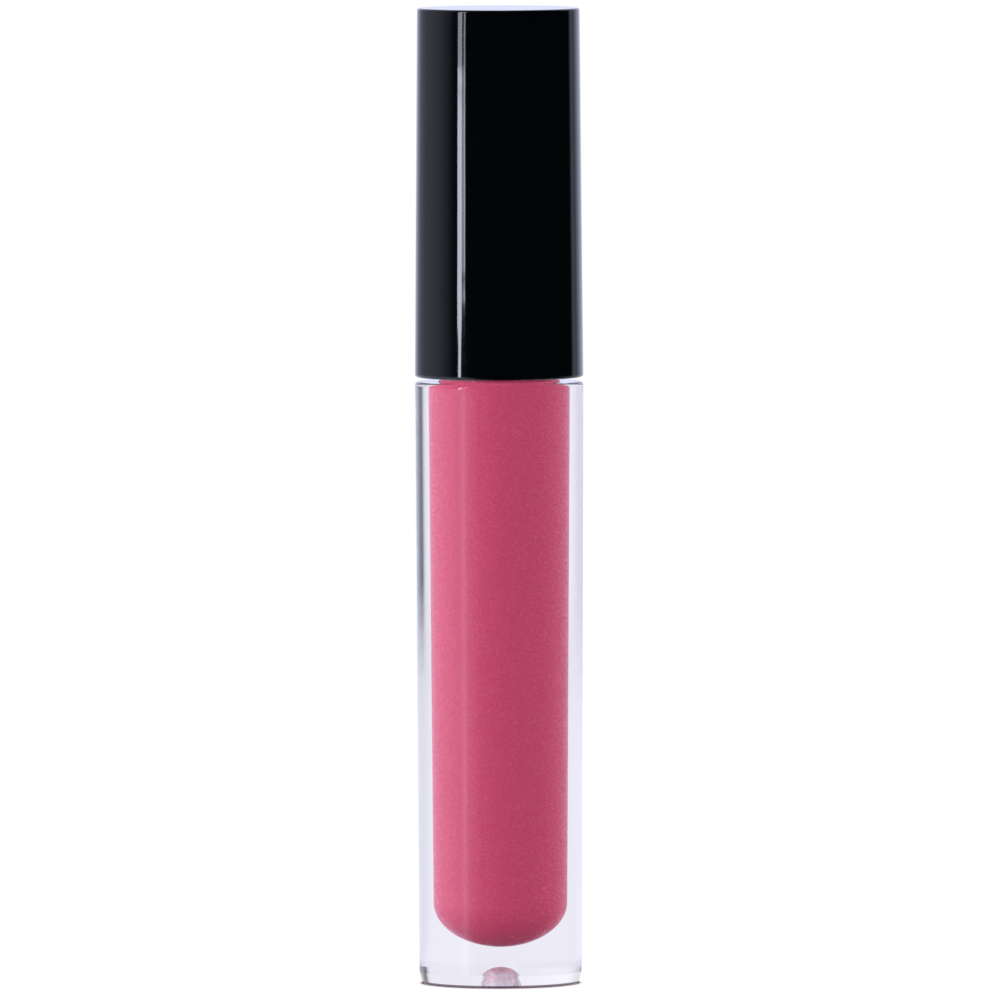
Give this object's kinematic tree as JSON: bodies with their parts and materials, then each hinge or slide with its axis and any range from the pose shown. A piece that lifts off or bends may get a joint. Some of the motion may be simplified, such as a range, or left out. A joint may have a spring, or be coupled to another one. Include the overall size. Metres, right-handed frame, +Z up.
{
  "type": "lip gloss tube",
  "caption": "Clear thick-walled cosmetic bottle of pink gloss with a black screw cap, inner cap, wiper, stem and flocked doe-foot applicator that unscrews and lifts out.",
  "frame": {"origin": "centre of the bottle's base, on the surface that it stands on", "axes": "+Z up along the tube's axis, from the base to the cap's top; +Y is the side that the applicator's slanted face looks to"},
  "size_m": [0.018, 0.018, 0.1043],
  "materials": {
    "clear_plastic": "clear, polished, very smooth",
    "pink_gloss": "opaque rose pink with fine pearl shimmer",
    "wiper_plastic": "natural, slightly milky and waxy",
    "stem_plastic": "black, smooth, lightly coated with gloss",
    "tip_plastic": "white, satin",
    "flock": "short velvet fibre soaked with gloss",
    "inner_cap_plastic": "black, satin as moulded",
    "black_gloss_plastic": "black, polished to a mirror gloss"
  },
  "bodies": {
    "bottle": {"bottle": "clear_plastic", "gloss": "pink_gloss", "wiper": "wiper_plastic"},
    "stem": {"applicator_stem": "stem_plastic"},
    "cap": {"outer_cap": "black_gloss_plastic", "inner_cap": "inner_cap_plastic", "tip_core": "tip_plastic", "tip_flock": "flock"}
  },
  "joints": [
    {"name": "cap_lift", "type": "slide", "parent": "bottle", "child": "stem", "axis": [0, 0, 1], "range_m": [0, 0.075]},
    {"name": "cap_turn", "type": "hinge", "parent": "stem", "child": "cap", "pos_m": [0, 0, 0.08], "axis": [0, 0, 1], "range_deg": [0, 450]}
  ]
}
